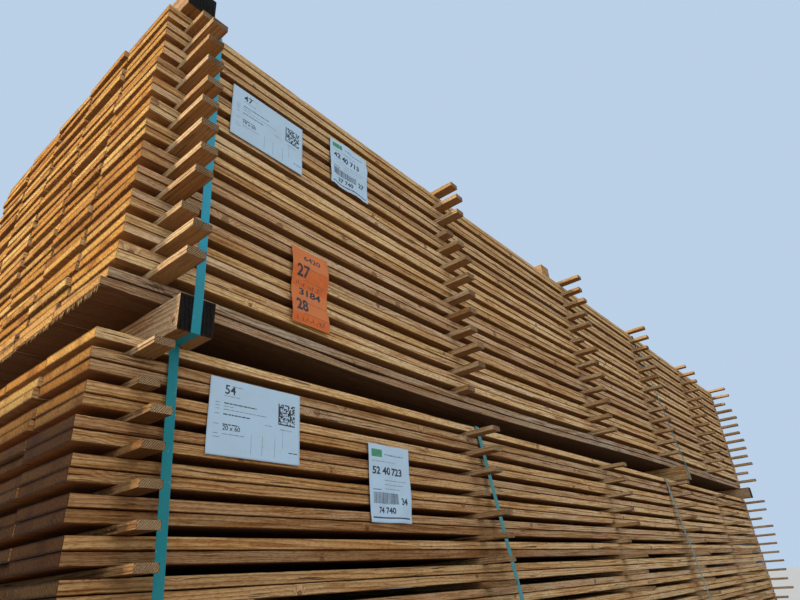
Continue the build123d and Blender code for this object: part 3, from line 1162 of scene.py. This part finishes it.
def make_wide_label(name, node_name, number):
    sheet = Sheet(node_name, wide_bulge(number), number)
    w, h = sheet.width, sheet.height
    sheet.figures(str(40 + 7 * number), 0.145 * w, 0.800 * h, 0.026)
    sheet.words(grey_ink, 0.215 * w, 0.905 * h, 0.12 * w, 0.0014)
    sheet.words(grey_ink, 0.145 * w, 0.765 * h, 0.16 * w, 0.0013)
    for foot, length, ink in ((0.665, 0.34, black_ink), (0.625, 0.10, grey_ink), (0.585, 0.46, grey_ink),
                              (0.520, 0.27, black_ink), (0.390, 0.16, black_ink), (0.270, 0.22, grey_ink)):
        sheet.bar(grey_ink, 0.06 * w, foot * h, 0.045 * w, 0.0012)
        sheet.words(ink, 0.145 * w, foot * h, length * w, 0.0022 if ink is black_ink else 0.0014)
    sheet.figures(f"{18 + number} x 60", 0.145 * w, 0.325 * h, 0.013)
    sheet.words(grey_ink, 0.58 * w, 0.470 * h, 0.08 * w, 0.0014)
    sheet.words(grey_ink, 0.76 * w, 0.450 * h, 0.14 * w, 0.0014)
    sheet.square_code(0.735 * w, 0.520 * h, 0.300 * h, 16)
    sheet.bar(grey_ink, 0.06 * w, 0.225 * h, 0.06 * w, 0.0012)
    for left, foot in ((0.44, 0.06), (0.56, 0.06), (0.70, 0.06), (0.79, 0.20)):
        sheet.bar(grey_ink, left * w, foot * h, 0.0007, 0.26 * h)
    sheet.words(black_ink, 0.865 * w, 0.145 * h, 0.11 * w, 0.0018)
    sheet.finish(name, white_paper)


make_wide_label("paper_upper_wide", "label_upper_wide", 1)
make_wide_label("paper_lower_wide", "label_lower_wide", 2)

# %% The two square labels
def creased_bulge(seed):
    """Wavy from damp: creases run up the sheet and its lower edge stands off."""
    def bulge(a, u):
        waves = 0.0022 * math.sin(9.0 * a + 2.2 * math.sin(4.0 * u + seed)) * (0.35 + 0.65 * (1 - u))
        crumple = 0.0035 * noise.noise(Vector((a * 3.5, u * 3.0, seed * 3.1)))
        fine = 0.0012 * noise.noise(Vector((a * 11.0, u * 9.0, seed * 1.7)))
        return max(closest, 0.0034 + waves + crumple + fine)
    return bulge


def make_square_label(name, node_name, number):
    sheet = Sheet(node_name, creased_bulge(number), 10 + number)
    w, h = sheet.width, sheet.height
    sheet.bar(green_ink, 0.06 * w, 0.830 * h, 0.24 * w, 0.10 * h)
    sheet.words(grey_ink, 0.36 * w, 0.865 * h, 0.50 * w, 0.0030)
    sheet.words(grey_ink, 0.06 * w, 0.770 * h, 0.60 * w, 0.0014)
    sheet.figures(f"{3 + number}2 40 7{number}3", 0.08 * w, 0.610 * h, 0.024, 1.12, 0.03)
    for line in range(3):
        sheet.words(grey_ink, 0.34 * w, (0.53 - 0.055 * line) * h, (0.56 - 0.09 * line) * w, 0.0015)
    sheet.bar(black_ink, 0.08 * w, 0.405 * h, 0.17 * w, 0.0016)
    sheet.bar_code(0.08 * w, 0.235 * h, 0.58 * w, 0.14 * h)
    sheet.figures(f"{7 * number + 20}", 0.72 * w, 0.235 * h, 0.022, 1.1, 0.03)
    sheet.figures(f"{37 * number} 740", 0.20 * w, 0.120 * h, 0.019, 1.1, 0.03)
    sheet.bar(black_ink, 0.05 * w, 0.055 * h, 0.90 * w, 0.0030)
    sheet.finish(name, white_paper, 48, 48)


make_square_label("paper_upper_square", "label_upper_square", 1)
make_square_label("paper_lower_square", "label_lower_square", 2)

# %% [markdown]
# The ticket is a strip of two tear-off parts, folded once in the middle, so it waves in and out as it hangs.
# Its bands are lighter and darker orange, with a plain number on each.

# %% The ticket
def ticket_bulge(a, u):
    wave = 0.0042 * math.sin(2 * math.pi * (1.55 * u + 0.10)) + 0.0016 * math.sin(5.0 * u + 2.0 * a)
    return max(closest, 0.0052 + wave + 0.0012 * noise.noise(Vector((a * 4.0, u * 4.0, 8.2))))


ticket = Sheet("ticket_orange", ticket_bulge, 77)
w, h = ticket.width, ticket.height
for foot, height in ((0.02, 0.11), (0.47, 0.10), (0.585, 0.155)):
    ticket.bar(dark_orange_ink, 0.01 * w, foot * h, 0.98 * w, height * h, thin_print_top)
for foot in (0.135, 0.295, 0.575, 0.745):
    ticket.bar(black_ink, 0.30 * w, foot * h, 0.66 * w, 0.0009)
for text, left, foot, size, stretch, weight in (
        ("27", 0.12, 0.615, 0.046, 0.85, 0.03), ("3184", 0.20, 0.385, 0.024, 1.5, 0.03),
        ("28", 0.12, 0.175, 0.042, 0.85, 0.03), ("6420", 0.30, 0.845, 0.020, 1.4, 0.02)):
    ticket.figures(text, left * w, foot * h, size, stretch, weight)
for foot in (0.800, 0.345):
    ticket.words(grey_ink, 0.36 * w, foot * h, 0.40 * w, 0.0012)
ticket.scribble(0.12 * w, 0.485 * h, 0.75 * w, 0.07 * h, 15)
ticket.scribble(0.12 * w, 0.035 * h, 0.75 * w, 0.08 * h, 15)
ticket.finish("paper_ticket", orange_paper, 60, 30)
